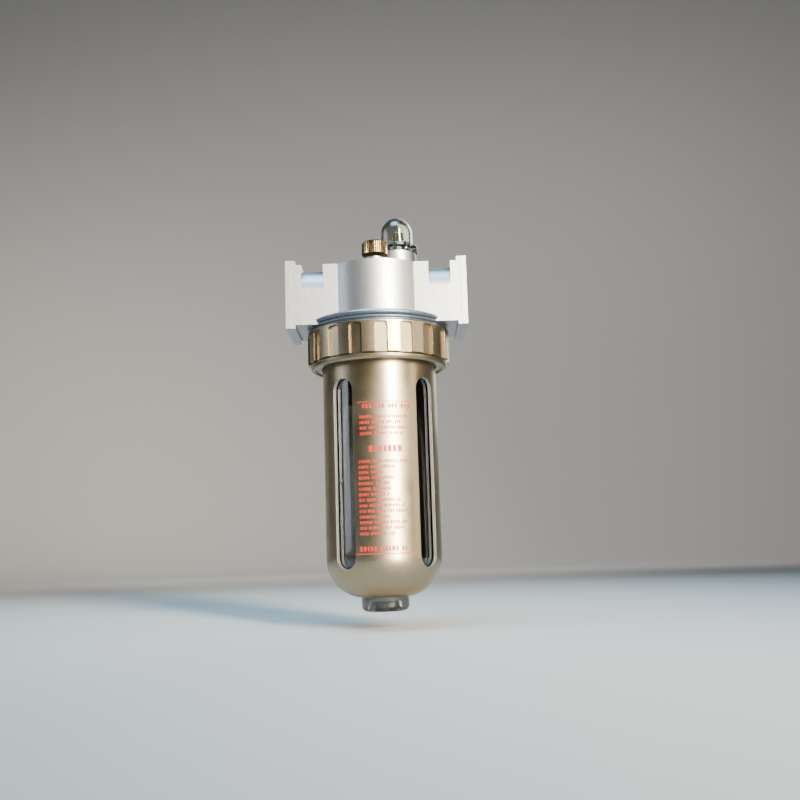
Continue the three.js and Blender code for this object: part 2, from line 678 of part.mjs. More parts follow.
const bowlAssembly = new THREE.Group();
bowlAssembly.add(clearBowl());
bowlAssembly.add(piece("bowl_seal", oRing(BOWL_SEAL.radius, BOWL_SEAL.thickness, BOWL_SEAL.z), blackRubber));
bowlAssembly.add(bowlGuard());
const washer = sleeve(GUARD.flangeRadius, GUARD.radius + 0.5, slipRing.bottom, slipRing.top);
bowlAssembly.add(piece("slip_washer", washer, whitePlastic));
bowlAssembly.add(retainingRing());

const lubricator = new THREE.Group();
lubricator.add(head, bowlAssembly);

export default lubricator;
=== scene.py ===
"""The looks of a modular air-line lubricator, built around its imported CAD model. Metres, row frame."""

import json
import math
import random

import bmesh
import bpy
from mathutils import Matrix, Vector


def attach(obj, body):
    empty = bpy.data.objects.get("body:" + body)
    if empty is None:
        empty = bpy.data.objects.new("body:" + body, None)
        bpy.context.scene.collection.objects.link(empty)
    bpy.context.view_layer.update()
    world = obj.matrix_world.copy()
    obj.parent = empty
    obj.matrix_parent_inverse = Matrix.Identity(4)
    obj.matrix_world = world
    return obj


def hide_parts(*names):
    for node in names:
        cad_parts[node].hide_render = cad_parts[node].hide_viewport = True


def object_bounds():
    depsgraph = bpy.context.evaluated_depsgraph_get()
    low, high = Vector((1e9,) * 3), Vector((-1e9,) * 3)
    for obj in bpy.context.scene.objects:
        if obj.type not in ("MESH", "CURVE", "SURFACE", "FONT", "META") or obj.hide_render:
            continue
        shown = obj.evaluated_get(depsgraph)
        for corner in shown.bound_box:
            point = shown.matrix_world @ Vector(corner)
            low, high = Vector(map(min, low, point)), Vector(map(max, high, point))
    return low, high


MM = 0.001
FINE = 160  # sides of a large circle
RING_SIDES = 180  # ten for each flute
GUARD_SIDES = 192  # a multiple of the number of slots
BOWL_SIDES = 128
DOME_SIDES = 96
MEDIUM = 72  # sides of a small circle
COARSE = 48  # sides of a circle inside the bowl or the dome
BEND = 14  # steps of a large round

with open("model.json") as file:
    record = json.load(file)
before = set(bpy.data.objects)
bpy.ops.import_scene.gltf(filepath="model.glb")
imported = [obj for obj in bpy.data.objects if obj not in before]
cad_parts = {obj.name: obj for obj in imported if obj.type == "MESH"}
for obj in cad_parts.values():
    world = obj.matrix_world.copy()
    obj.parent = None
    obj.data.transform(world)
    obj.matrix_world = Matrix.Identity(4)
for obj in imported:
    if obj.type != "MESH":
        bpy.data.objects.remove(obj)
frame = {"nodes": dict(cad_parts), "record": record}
cad_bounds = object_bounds()

# ------------------------------------------------------------------ dimensions, in millimetres
# Heights are measured from the ports' axis, and angles are in degrees.
PAST = 2  # how far a cutting tool runs past the face it cuts
ABOVE = 30  # higher than the head's bosses, for tools that cut down from above
OVERLAP = 0.5  # how far two joined solids run into each other

WING_START = 12  # inside the drum
WING_END = 41
WING_HALF_DEPTH = 17
WING_TOP = 13.8
WING_BOTTOM = -14.1
NOTCH = {"from": 23.9, "to": 33.8, "floor": 1.8, "radius": 11.2, "centre": 5.85}
FLANGE = {"neck": 36.7, "start": 37.1, "step": 38.4, "half_height": 15.7, "proud": 0.3}
PORT = {"radius": 6.6, "pitch": 1.34, "thread": 0.55, "chamfer": 0.9, "lead_in": 0.8, "depth": 13}
AIRWAY_RADIUS = 6

DRUM_RADIUS = 24.2
BEAD = {"radius": 32.2, "middle": -12.3, "round": 1.2, "neck": 31}
COLLAR = {"radius": 31.8, "middle": -14.25, "round": 0.75, "foot": -15.4}
SHADED = {"from": 29, "to": 32.4, "top": -11.95}  # the faces of the bead and collar that get painted shade, by radius
SPIGOT = {"radius": 28, "thread_top": -16.2, "bottom": -24, "pitch": 2, "thread": 0.7}
CHAMBER = {"radius": 24.2, "step": -16.5, "upper_radius": 20.8, "top": -9.5}

RING = {"land": 32.7, "floor": 31.4, "top": -15.8, "land_bottom": -30.2, "bottom": -33, "bore": 28.4}
RING_LIP = {"top": -29.9, "bottom": -32.3, "play": 0.4, "mouth": 29.2}
FLUTE = {"count": 18, "half_width": 2.85, "top": -16.9, "corner": 1.5, "first": 3.4}
GUARD = {"radius": 26, "wall": 1.6, "top": -27.6, "bottom": -136, "corner": 17.5, "mouth": 11.3}
GUARD_FLANGE_RADIUS = 27.9
SLOT = {"width": 11, "top": -39.6, "bottom": -123.2, "count": 4, "first": 51, "reach": 5}
BOWL = {"radius": 23.9, "wall": 2.5, "foot": 10.7, "foot_bottom": -142.1, "foot_round": 2.6}
BOWL_NECK = {"top": -17, "groove": 21.6, "groove_top": -18.9, "groove_bottom": -21.5, "thicker": 1.4}
BOWL_FLANGE = {"radius": 27.7, "top": -24.3, "bottom": -27.3}
FOOT_RECESS = {"radius": 5.2, "top_radius": 4.6, "depth": 4.6, "edge": 0.3}

BOSS_FOOT = 10  # inside the drum
DOME_AT = (9.8, 4)
DOME_BOSS = {"radius": 9.3, "top": 23.2, "bore": 6, "bore_bottom": 15.5}
DOME = {"radius": 7.8, "wall": 1.5, "top": 41.3, "hex": 17.2, "hex_height": 4.2, "gap": 0.3}
STEM = {"play": 0.3, "wall": 1.4, "bottom": 17}
FUNNEL = {"bore": 1.6, "radius": 2.9, "rim": 4, "rim_wall": 0.4, "bottom": 18.6, "top": 24.4}
KNOB_AT = (-0.3, -9)
KNOB_BOSS = {"radius": 4.7, "top": 18, "bore": 3.6, "bore_bottom": 11.4}
KNOB = {"radius": 6.05, "bottom": 18.9, "top": 25.7, "teeth": 36, "tooth": 0.4}

SIPHON_AT = (-0.3, 11)
SIPHON = {"bore": 1.3, "radius": 2.8, "bottom": -114, "top": -13.4}
STRAINER = {"radius": 3.7, "bottom": -126.9, "top": -123.3, "pitch": 0.45}

FLOOR_GAP = 8  # below the bowl's foot, which comes down 7 mm when the ring is off
STAGE = {"flat": 1500, "curve": 700, "wall": 2200, "height": 1900, "thickness": 20}


# ------------------------------------------------------------------ meshes
ON_AXIS = 1e-6  # a point nearer the axis than this lies on it


def link(name, mesh):
    """Puts a mesh into the scene as an object."""
    piece = bpy.data.objects.new(name, mesh)
    bpy.context.scene.collection.objects.link(piece)
    return piece


def from_points(name, points, faces):
    """A mesh object from points in millimetres."""
    mesh = bpy.data.meshes.new(name)
    mesh.from_pydata([Vector(p) * MM for p in points], [], faces)
    mesh.validate()
    mesh.update()
    return link(name, mesh)


def turned(name, profile, sides=FINE, centre=(0, 0)):
    """A body of revolution about Z. The profile starts and ends on the axis, or is a closed loop."""
    area = sum(a[0] * b[1] - b[0] * a[1] for a, b in zip(profile, profile[1:] + profile[:1]))
    if area < 0:
        profile = profile[::-1]
    points, rows = [], []
    for r, z in profile:
        if r < ON_AXIS:
            rows.append([len(points)] * sides)
            points.append((centre[0], centre[1], z))
            continue
        rows.append(list(range(len(points), len(points) + sides)))
        for i in range(sides):
            a = 2 * math.pi * i / sides
            points.append((centre[0] + r * math.cos(a), centre[1] + r * math.sin(a), z))
    faces = []
    is_loop = profile[0][0] > ON_AXIS or profile[-1][0] > ON_AXIS
    pairs = list(zip(rows, rows[1:])) + ([(rows[-1], rows[0])] if is_loop else [])
    for low, high in pairs:
        for i in range(sides):
            j = (i + 1) % sides
            corners = [low[i], low[j], high[j], high[i]]
            face = list(dict.fromkeys(corners))
            if len(face) > 2:
                faces.append(face)
    return from_points(name, points, faces)


def pushed(name, outline, low, high, place):
    """A flat outline pushed from `low` to `high`. place(u, v, w) turns its own axes into the row's."""
    count = len(outline)
    points = [place(u, v, w) for w in (low, high) for u, v in outline]
    faces = [list(range(count))[::-1], list(range(count, 2 * count))]
    faces += [[i, (i + 1) % count, count + (i + 1) % count, count + i] for i in range(count)]
    piece = from_points(name, points, faces)
    outward(piece)
    return piece


def outward(piece):
    """Turns every face outwards."""
    work = bmesh.new()
    work.from_mesh(piece.data)
    bmesh.ops.recalc_face_normals(work, faces=work.faces)
    work.to_mesh(piece.data)
    work.free()


def along_x(u, v, w):
    """Places an outline drawn in (Y, Z) and pushed along X."""
    return (w, u, v)


def along_z(u, v, w):
    """Places an outline drawn in (X, Y) and pushed along Z."""
    return (u, v, w)


def box(name, low, high):
    """A block between two opposite corners."""
    outline = [(low[0], low[1]), (high[0], low[1]), (high[0], high[1]), (low[0], high[1])]
    return pushed(name, outline, low[2], high[2], along_z)


def arc(centre, radius, start, end, steps):
    """Points of an arc between two angles in degrees."""
    angles = [math.radians(start + (end - start) * i / steps) for i in range(steps + 1)]
    return [(centre[0] + radius * math.cos(a), centre[1] + radius * math.sin(a)) for a in angles]


def baked(piece):
    """Applies the piece's modifiers."""
    graph = bpy.context.evaluated_depsgraph_get()
    graph.update()
    mesh = bpy.data.meshes.new_from_object(piece.evaluated_get(graph))
    piece.modifiers.clear()
    piece.data = mesh
    return piece


def combined(piece, other, operation):
    """Adds `other` to the piece, or cuts it out of the piece, and uses `other` up."""
    step = piece.modifiers.new("combine", "BOOLEAN")
    step.operation = operation
    step.solver = "EXACT"
    step.object = other
    baked(piece)
    bpy.data.objects.remove(other)
    return piece


def joined(name, pieces):
    """Several separate meshes as one object."""
    points, faces = [], []
    for piece in pieces:
        start = len(points)
        points += [v.co / MM for v in piece.data.vertices]
        faces += [[start + i for i in f.vertices] for f in piece.data.polygons]
        bpy.data.objects.remove(piece)
    return from_points(name, points, faces)


def softened(piece, width, angle=32):
    """Small rounds on every sharp outer edge, and smooth shading elsewhere. Inner corners stay crisp."""
    work = bmesh.new()
    work.from_mesh(piece.data)
    weight = work.edges.layers.float.new("bevel_weight_edge")
    for edge in work.edges:
        if edge.calc_face_angle_signed(0) > math.radians(angle):
            edge[weight] = 1
    work.to_mesh(piece.data)
    work.free()
    bevel = piece.modifiers.new("rounds", "BEVEL")
    bevel.width = width * MM
    bevel.segments = 2
    bevel.limit_method = "WEIGHT"
    bevel.miter_outer = "MITER_ARC"
    bevel.use_clamp_overlap = True
    weighted = piece.modifiers.new("even", "WEIGHTED_NORMAL")
    weighted.keep_sharp = True
    smoothed(piece)
    return baked(piece)


def smoothed(piece, angle=40):
    """Smooth shading, with edges sharper than `angle` left crisp."""
    mesh = piece.data
    mesh.polygons.foreach_set("use_smooth", [True] * len(mesh.polygons))
    mesh.set_sharp_from_angle(angle=math.radians(angle))
    return piece


def cut_round(piece, name, outline, near, far, first, count):
    """Cuts an outline, pushed outwards from `near` to `far`, out of the piece at even turns about Z."""
    cutters = []
    for i in range(count):
        cutter = pushed(name, outline, near, far, along_x)
        angle = math.radians(first + 360 / count * i)
        cutter.data.transform(Matrix.Rotation(angle, 4, "Z"))
        cutters.append(cutter)
    combined(piece, joined(name + "s", cutters), "DIFFERENCE")


def repaint(piece, material, wanted):
    """Gives a second material to the faces for which wanted(face) is true."""
    piece.data.materials.append(material)
    for face in piece.data.polygons:
        if wanted(face):
            face.material_index = 1


LOOKS_OUT = 0.3  # the outwardness above which a face counts as looking outwards
WALL_FACE = 0.93  # the outwardness above which a face belongs to the wall itself, not to a cut edge


def outwardness(face):
    """How squarely a face looks away from the Z axis: 1 is straight out, 0 sideways, up or down."""
    return face.normal.xy.dot(face.center.xy.normalized())


# ------------------------------------------------------------------ materials
# Noise scales are in features per metre, and bump distances are in metres.
class Nodes:
    """A material's node tree, with short calls for the few nodes used here."""

    def __init__(self, name):
        self.material = bpy.data.materials.new(name)
        self.material.use_nodes = True
        self.tree = self.material.node_tree
        self.shader = self.tree.nodes["Principled BSDF"]
        self.coords = self.tree.nodes.new("ShaderNodeTexCoord").outputs["Object"]

    def set(self, **values):
        """Sets the shader's plain inputs, with _ for a space in the input's name."""
        for key, value in values.items():
            self.shader.inputs[key.replace("_", " ")].default_value = value

    def link(self, source, target):
        """Connects an output to an input."""
        self.tree.links.new(source, target)

    def noise(self, scale, detail, stretch=None):
        """A 3-D noise from 0 to 1. `stretch` scales it further along each axis."""
        node = self.tree.nodes.new("ShaderNodeTexNoise")
        node.inputs["Scale"].default_value = scale
        node.inputs["Detail"].default_value = detail
        coords = self.coords
        if stretch:
            mapping = self.tree.nodes.new("ShaderNodeMapping")
            mapping.inputs["Scale"].default_value = stretch
            self.link(self.coords, mapping.inputs["Vector"])
            coords = mapping.outputs["Vector"]
        self.link(coords, node.inputs["Vector"])
        return node.outputs["Fac"]

    def ramp(self, source, low, high, low_value, high_value):
        """Maps `source`, from low to high, onto the two values."""
        node = self.tree.nodes.new("ShaderNodeMapRange")
        node.inputs["From Min"].default_value = low
        node.inputs["From Max"].default_value = high
        node.inputs["To Min"].default_value = low_value
        node.inputs["To Max"].default_value = high_value
        self.link(source, node.inputs["Value"])
        return node.outputs["Result"]

    def math(self, operation, first, second):
        """Adds or subtracts two numbers or outputs, and holds the result between 0 and 1."""
        node = self.tree.nodes.new("ShaderNodeMath")
        node.operation = operation
        node.use_clamp = True
        for socket, value in zip(node.inputs, (first, second)):
            if isinstance(value, float):
                socket.default_value = value
            else:
                self.link(value, socket)
        return node.outputs["Value"]

    def distance_from_axis(self, centre):
        """Distance in metres from a vertical axis at `centre`, in millimetres."""
        place = self.tree.nodes.new("ShaderNodeMapping")
        place.inputs["Location"].default_value = (-centre[0] * MM, -centre[1] * MM, 0)
        place.inputs["Scale"].default_value = (1, 1, 0)
        self.link(self.coords, place.inputs["Vector"])
        length = self.tree.nodes.new("ShaderNodeVectorMath")
        length.operation = "LENGTH"
        self.link(place.outputs["Vector"], length.inputs[0])
        return length.outputs["Value"]

    def blend(self, factor, first, second):
        """Goes from the first colour at 0 to the second at 1."""
        node = self.tree.nodes.new("ShaderNodeMix")
        node.data_type = "RGBA"
        node.inputs["A"].default_value = (*first, 1)
        node.inputs["B"].default_value = (*second, 1)
        self.link(factor, node.inputs["Factor"])
        return node.outputs["Result"]

    def bump(self, height, distance, strength, below=None):
        """Relief on the surface, on top of the relief `below` if there is any."""
        node = self.tree.nodes.new("ShaderNodeBump")
        node.inputs["Strength"].default_value = strength
        node.inputs["Distance"].default_value = distance
        self.link(height, node.inputs["Height"])
        if below:
            self.link(below, node.inputs["Normal"])
        return node.outputs["Normal"]

    def colour(self, source):
        """Connects the shader's base colour."""
        self.link(source, self.shader.inputs["Base Color"])

    def roughness(self, source):
        """Connects the shader's roughness."""
        self.link(source, self.shader.inputs["Roughness"])

    def normal(self, source):
        """Connects the shader's normal."""
        self.link(source, self.shader.inputs["Normal"])


def painted_casting():
    """Silver paint over a die casting: a fine sparkling grain and a slight orange peel."""
    m = Nodes("silver paint on casting")
    m.set(Metallic=1.0)
    grain = m.noise(1700, 3)
    peel = m.noise(420, 2)
    m.colour(m.blend(m.ramp(grain, 0.38, 0.62, 0, 1), (0.36, 0.36, 0.37), (0.52, 0.52, 0.525)))
    m.roughness(m.ramp(grain, 0.3, 0.7, 0.5, 0.34))
    m.normal(m.bump(grain, 0.00008, 0.6, m.bump(peel, 0.00006, 0.35)))
    return m.material


def painted_guard():
    """Warm silver metallic paint on pressed sheet: smoother than the casting."""
    m = Nodes("champagne silver paint")
    m.set(Metallic=1.0)
    grain = m.noise(3200, 2)
    cloud = m.noise(60, 3)
    m.colour(m.blend(m.ramp(grain, 0.35, 0.65, 0, 1), (0.25, 0.202, 0.128), (0.37, 0.307, 0.203)))
    m.roughness(m.ramp(cloud, 0.35, 0.65, 0.3, 0.38))
    m.normal(m.bump(grain, 0.00003, 0.4))
    return m.material


def clear_plastic(name, tint, roughness=0.03):
    """Moulded polycarbonate."""
    m = Nodes(name)
    m.set(Base_Color=(*tint, 1), Transmission_Weight=1.0, IOR=1.58)
    waviness = m.noise(120, 2)
    m.roughness(m.ramp(waviness, 0.3, 0.7, roughness, roughness * 2))
    m.normal(m.bump(waviness, 0.0002, 0.05))
    return m.material


def shade_painted_collar_paint():
    """Painted shade on the bead and the collar under it: the casting's paint in a darker, cooler grey
    that stands in for their shade.
    """
    m = Nodes("casting paint with painted shade")
    m.set(Metallic=0.85)
    grain = m.noise(1700, 3)
    m.colour(m.blend(m.ramp(grain, 0.38, 0.62, 0, 1), (0.08, 0.1, 0.135), (0.13, 0.155, 0.195)))
    m.roughness(m.ramp(grain, 0.3, 0.7, 0.5, 0.36))
    m.normal(m.bump(grain, 0.00005, 0.4))
    return m.material


def bare_aluminium():
    """Cut edges without paint."""
    m = Nodes("bare aluminium")
    m.set(Base_Color=(0.86, 0.85, 0.81, 1), Metallic=1.0, Roughness=0.42)
    return m.material


def knurled_brass():
    """Brass with painted shade between the knurl's teeth, darker towards each tooth's root."""
    m = Nodes("knurled brass")
    m.set(Metallic=1.0)
    depth = m.distance_from_axis(KNOB_AT)
    root = (KNOB["radius"] - KNOB["tooth"]) * MM
    # Painted shade: the colour darkens from each tooth's tip down to its root, but not on the crown.
    out_of_root_shade = m.ramp(depth, root, KNOB["radius"] * MM - 0.00008, 0, 1)
    on_side = m.ramp(depth, root - 0.0009, root - 0.0006, 0, 1)
    unshaded_or_top = m.math("ADD", out_of_root_shade, m.math("SUBTRACT", 1.0, on_side))
    m.colour(m.blend(unshaded_or_top, (0.05, 0.03, 0.015), (0.25, 0.18, 0.09)))
    m.roughness(m.ramp(m.noise(500, 3), 0.3, 0.7, 0.22, 0.38))
    return m.material


def turned_brass():
    """Lathe-turned brass, a little tarnished."""
    m = Nodes("turned brass")
    m.set(Metallic=1.0)
    tarnish = m.noise(260, 4)
    rings = m.noise(90, 2, (1, 1, 60))
    m.colour(m.blend(m.ramp(tarnish, 0.35, 0.7, 0, 1), (0.66, 0.5, 0.27), (0.42, 0.3, 0.15)))
    m.roughness(m.ramp(rings, 0.3, 0.7, 0.24, 0.4))
    m.normal(m.bump(rings, 0.00003, 0.4))
    return m.material


def bright_steel():
    """Plated steel with fine scratches."""
    m = Nodes("plated steel")
    m.set(Base_Color=(0.62, 0.62, 0.63, 1), Metallic=1.0)
    scratches = m.noise(700, 3, (1, 1, 8))
    m.roughness(m.ramp(scratches, 0.3, 0.7, 0.2, 0.34))
    return m.material


def black_rubber():
    """Matt black rubber."""
    m = Nodes("black rubber")
    m.set(Base_Color=(0.02, 0.02, 0.021, 1))
    m.roughness(m.ramp(m.noise(900, 3), 0.3, 0.7, 0.62, 0.8))
    return m.material


def moulded_plastic(name, colour):
    """Plain moulded plastic with a fine texture."""
    m = Nodes(name)
    m.set(Base_Color=(*colour, 1))
    texture = m.noise(1500, 3)
    m.roughness(m.ramp(texture, 0.3, 0.7, 0.4, 0.55))
    m.normal(m.bump(texture, 0.00003, 0.3))
    return m.material


def red_ink():
    """Screen-printed ink, slightly uneven in density."""
    m = Nodes("red ink")
    density = m.noise(1800, 3)
    m.colour(m.blend(m.ramp(density, 0.4, 0.75, 0, 1), (0.3, 0.012, 0.006), (0.4, 0.04, 0.02)))
    m.set(Roughness=0.45)
    return m.material


def pale_stage():
    """The matt, pale floor and wall."""
    m = Nodes("pale stage")
    m.set(Base_Color=(0.5, 0.49, 0.47, 1), Roughness=0.9)
    return m.material


CAST = painted_casting()
PAINT = painted_guard()
# The bowl's dark grey tint is painted shade: much darker than clear polycarbonate, standing in for the
# shade inside the guard.
SHADE_TINTED_BOWL = clear_plastic("clear bowl with painted shade tint", (0.3, 0.3, 0.27))
CLEAR_DOME = clear_plastic("clear dome", (0.6, 0.62, 0.56), 0.02)
CLEAR_TUBE = clear_plastic("clear tube", (0.85, 0.87, 0.85), 0.12)
BRASS = turned_brass()
KNURLED = knurled_brass()
# painted shade for the bead and the collar: a darker, cooler copy of the casting's paint
COLLAR_PAINTED_SHADE = shade_painted_collar_paint()
BARE = bare_aluminium()
STEEL = bright_steel()
RUBBER = black_rubber()
WHITE = moulded_plastic("white acetal", (0.72, 0.71, 0.67))
GREY = moulded_plastic("grey nylon", (0.07, 0.07, 0.075))
INK = red_ink()

MATERIAL_OF_SLOT = {
    "cast_silver": CAST,
    "guard_silver": PAINT,
    "clear_plastic": CLEAR_TUBE,
    "brass": BRASS,
    "steel": STEEL,
    "black_rubber": RUBBER,
    "white_plastic": WHITE,
    "grey_plastic": GREY,
}


def dress(piece, material):
    """Makes `material` the piece's only one."""
    piece.data.materials.clear()
    piece.data.materials.append(material)
    return piece


def dress_cad_nodes():
    """Gives every CAD node its finish. Those with a finer stand-in are hidden later."""
    for part in frame["record"]["subparts"]:
        node = frame["nodes"][part["node"]]
        dress(node, MATERIAL_OF_SLOT[part["material_slot"]])


def add(piece, material, body, slot, *replaced):
    """Finishes a new piece: its material, its body and the CAD nodes it stands for. The `slot` argument
    is not used.
    """
    dress(piece, material)
    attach(piece, body)
    if replaced:
        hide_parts(*replaced)
    return piece


# ------------------------------------------------------------------ the head
CREST = 0.25  # how far down a pitch a thread's flat crest ends, as a share
ROOT = 0.62  # and how far down its root lies


def threaded_profile(radius, depth, top, bottom, pitch):
    """Points down a thread-like zigzag from `top` to `bottom`."""
    points = []
    z = top
    while z - pitch > bottom:
        points += [(radius, z), (radius, z - pitch * CREST), (radius - depth, z - pitch * ROOT)]
        z -= pitch
    return points + [(radius, z), (radius, bottom)]


def half_round(band):
    """The rim of a band round the drum, from its upper face down to its lower one."""
    centre = (band["radius"] - band["round"], band["middle"])
    return arc(centre, band["round"], 90, -90, BEND)


def drum():
    """The drum with its bead, its threaded spigot and the chamber that takes the bowl's neck."""
    neck, bead, collar = BEAD["neck"], half_round(BEAD), half_round(COLLAR)
    outside = [(0, WING_TOP), (DRUM_RADIUS, WING_TOP), (DRUM_RADIUS, bead[0][1])]
    outside += bead + [(neck, bead[-1][1]), (neck, collar[0][1])]
    outside += collar + [(neck, collar[-1][1]), (neck, COLLAR["foot"])]
    radius, bottom = SPIGOT["radius"], SPIGOT["bottom"]
    spigot = [(radius, COLLAR["foot"])]
    spigot += threaded_profile(radius, SPIGOT["thread"], SPIGOT["thread_top"], bottom, SPIGOT["pitch"])
    chamber = [(CHAMBER["radius"], bottom), (CHAMBER["radius"], CHAMBER["step"])]
    chamber += [(CHAMBER["upper_radius"], CHAMBER["step"]), (CHAMBER["upper_radius"], CHAMBER["top"])]
    return turned("head_casting_visual", outside + spigot + chamber + [(0, CHAMBER["top"])])


def wing(side):
    """One port wing: two posts, the rounded port tube between them and the end flange."""
    depth = WING_HALF_DEPTH
    low_x, high_x = sorted((WING_START * side, FLANGE["start"] * side))
    block = box("wing", (low_x, -depth, WING_BOTTOM), (high_x, depth, WING_TOP))
    centre, radius, floor = NOTCH["centre"], NOTCH["radius"], NOTCH["floor"]
    reach = depth + 2 * PAST
    outline = [(-reach, floor)] + arc((-centre, floor), radius, 180, 90, BEND)
    outline += arc((centre, floor), radius, 90, 0, BEND)
    outline += [(reach, floor), (reach, ABOVE), (-reach, ABOVE)]
    span = sorted((NOTCH["from"] * side, NOTCH["to"] * side))
    combined(block, pushed("notch", outline, *span, along_x), "DIFFERENCE")
    half = FLANGE["half_height"]
    deep = depth + FLANGE["proud"]
    neck_x = sorted((FLANGE["neck"] * side, (FLANGE["step"] + OVERLAP) * side))
    face_x = sorted((FLANGE["step"] * side, WING_END * side))
    neck = box("neck", (neck_x[0], -depth, -half), (neck_x[1], depth, half))
    face = box("face", (face_x[0], -deep, -half), (face_x[1], deep, half))
    combined(block, neck, "UNION")
    return combined(block, face, "UNION")


def port_cutter(side):
    """The threaded port, as the tool that cuts it."""
    radius, bottom = PORT["radius"], WING_END - PORT["depth"]
    mouth = radius + PORT["chamfer"]
    outline = [(0, WING_END + PAST), (mouth + 1, WING_END + PAST), (mouth, WING_END + 0.01)]
    outline += threaded_profile(radius, PORT["thread"], WING_END - PORT["lead_in"], bottom, PORT["pitch"])
    tool = turned("port", outline + [(0, bottom)], MEDIUM)
    tool.data.transform(Matrix.Rotation(math.radians(90 * side), 4, "Y"))
    return tool


def bar_along_x(name, radius, low, high):
    """A round bar along X."""
    outline = arc((0, 0), radius, 0, 360 - 360 / MEDIUM, MEDIUM - 1)
    return pushed(name, outline, low, high, along_x)


def post(name, radius, low, high, centre):
    """A round upright post."""
    return turned(name, [(0, low), (radius, low), (radius, high), (0, high)], MEDIUM, centre)


def is_shaded(face):
    """True for the faces of the bead and the collar that look outwards, which get painted shade."""
    radius, height = face.center.xy.length / MM, face.center.z / MM
    in_band = SHADED["from"] < radius < SHADED["to"] and COLLAR["foot"] < height < SHADED["top"]
    return in_band and outwardness(face) > LOOKS_OUT


def head():
    """The casting: the drum, two port wings, two bosses on top, and the bores through them."""
    casting = drum()
    bosses = ((DOME_BOSS, DOME_AT), (KNOB_BOSS, KNOB_AT))
    for side in (1, -1):
        combined(casting, wing(side), "UNION")
    for boss, centre in bosses:
        combined(casting, post("boss", boss["radius"], BOSS_FOOT, boss["top"], centre), "UNION")
    airway_end = WING_END - PAST
    combined(casting, bar_along_x("airway", AIRWAY_RADIUS, -airway_end, airway_end), "DIFFERENCE")
    for side in (1, -1):
        combined(casting, port_cutter(side), "DIFFERENCE")
    for boss, centre in bosses:
        combined(casting, post("bore", boss["bore"], boss["bore_bottom"], ABOVE, centre), "DIFFERENCE")
    softened(casting, 0.35)
    add(casting, CAST, "head", "cast_silver", "head_casting")
    # The bead's and collar's outward faces get painted shade; their upper rounds keep the plain casting
    # paint.
    repaint(casting, COLLAR_PAINTED_SHADE, is_shaded)
    return casting


# ------------------------------------------------------------------ ring, guard and bowl
def retaining_ring():
    """Broad lands with shallow flutes between them, and a lip that carries the guard's flange."""
    land, floor, bore = RING["land"], RING["floor"], RING["bore"]
    bottom, land_bottom = RING["bottom"], RING["land_bottom"]
    lip_bore = GUARD["radius"] + RING_LIP["play"]
    profile = [(bore, RING["top"]), (land - 0.5, RING["top"]), (land, RING["top"] - 0.5)]
    profile += [(land, land_bottom), (floor - 0.5, land_bottom), (floor - 0.4, land_bottom - 0.4)]
    profile += [(floor, land_bottom - 0.7), (floor - 0.1, bottom + 0.8), (floor - 0.7, bottom)]
    profile += [(RING_LIP["mouth"] + 0.2, bottom), (RING_LIP["mouth"], RING_LIP["bottom"])]
    profile += [(lip_bore, RING_LIP["bottom"]), (lip_bore, RING_LIP["top"]), (bore, RING_LIP["top"])]
    ring = turned("retaining_ring_visual", profile, RING_SIDES)
    half, top, corner = FLUTE["half_width"], FLUTE["top"], FLUTE["corner"]
    low = land_bottom - 0.02
    outline = [(-half, low), (half, low)]
    outline += arc((half - corner, top - corner), corner, 0, 90, 5)
    outline += arc((-half + corner, top - corner), corner, 90, 180, 5)
    cut_round(ring, "flute", outline, floor, land + PAST, FLUTE["first"] - 90, FLUTE["count"])
    softened(ring, 0.3, 35)
    return add(ring, PAINT, "ring", "guard_silver", "retaining_ring")


CORNER_AT = (GUARD["radius"] - GUARD["corner"], GUARD["bottom"] + GUARD["corner"])


def rounded_bottom(corner, mouth):
    """A bottom corner about CORNER_AT, from the straight wall in to the radius `mouth`."""
    end = -math.degrees(math.acos(max(0, min(1, (mouth - CORNER_AT[0]) / corner))))
    return arc(CORNER_AT, corner, 0, end, 16)


def is_slot_edge(face):
    """True for the cut faces of the slots, which look sideways, up or down inside the wall."""
    radius, height = face.center.xy.length / MM, face.center.z / MM
    in_wall = GUARD["radius"] - GUARD["wall"] - 0.1 < radius < GUARD["radius"] + 0.1
    beside_slot = SLOT["bottom"] - 1 < height < SLOT["top"] + 1
    return in_wall and beside_slot and abs(outwardness(face)) < WALL_FACE


def bowl_guard():
    """The thin metal guard with its flange, its rounded end and its four slots."""
    radius, wall, top, flange = GUARD["radius"], GUARD["wall"], GUARD["top"], GUARD_FLANGE_RADIUS
    outer = rounded_bottom(GUARD["corner"], GUARD["mouth"])
    inner = rounded_bottom(GUARD["corner"] - wall, GUARD["mouth"])[::-1]
    rim = [(radius - wall, top), (flange, top), (flange, top - wall), (radius, top - wall)]
    guard = turned("bowl_guard_visual", rim + outer + inner, GUARD_SIDES)
    half = SLOT["width"] / 2
    outline = arc((0, SLOT["top"] - half), half, 0, 180, BEND)
    outline += arc((0, SLOT["bottom"] + half), half, 180, 360, BEND)
    cut_round(guard, "slot", outline, SLOT["reach"], radius + SLOT["reach"], SLOT["first"], SLOT["count"])
    softened(guard, 0.25, 40)
    add(guard, PAINT, "bowl_unit", "guard_silver", "bowl_guard")
    repaint(guard, BARE, is_slot_edge)
    return guard


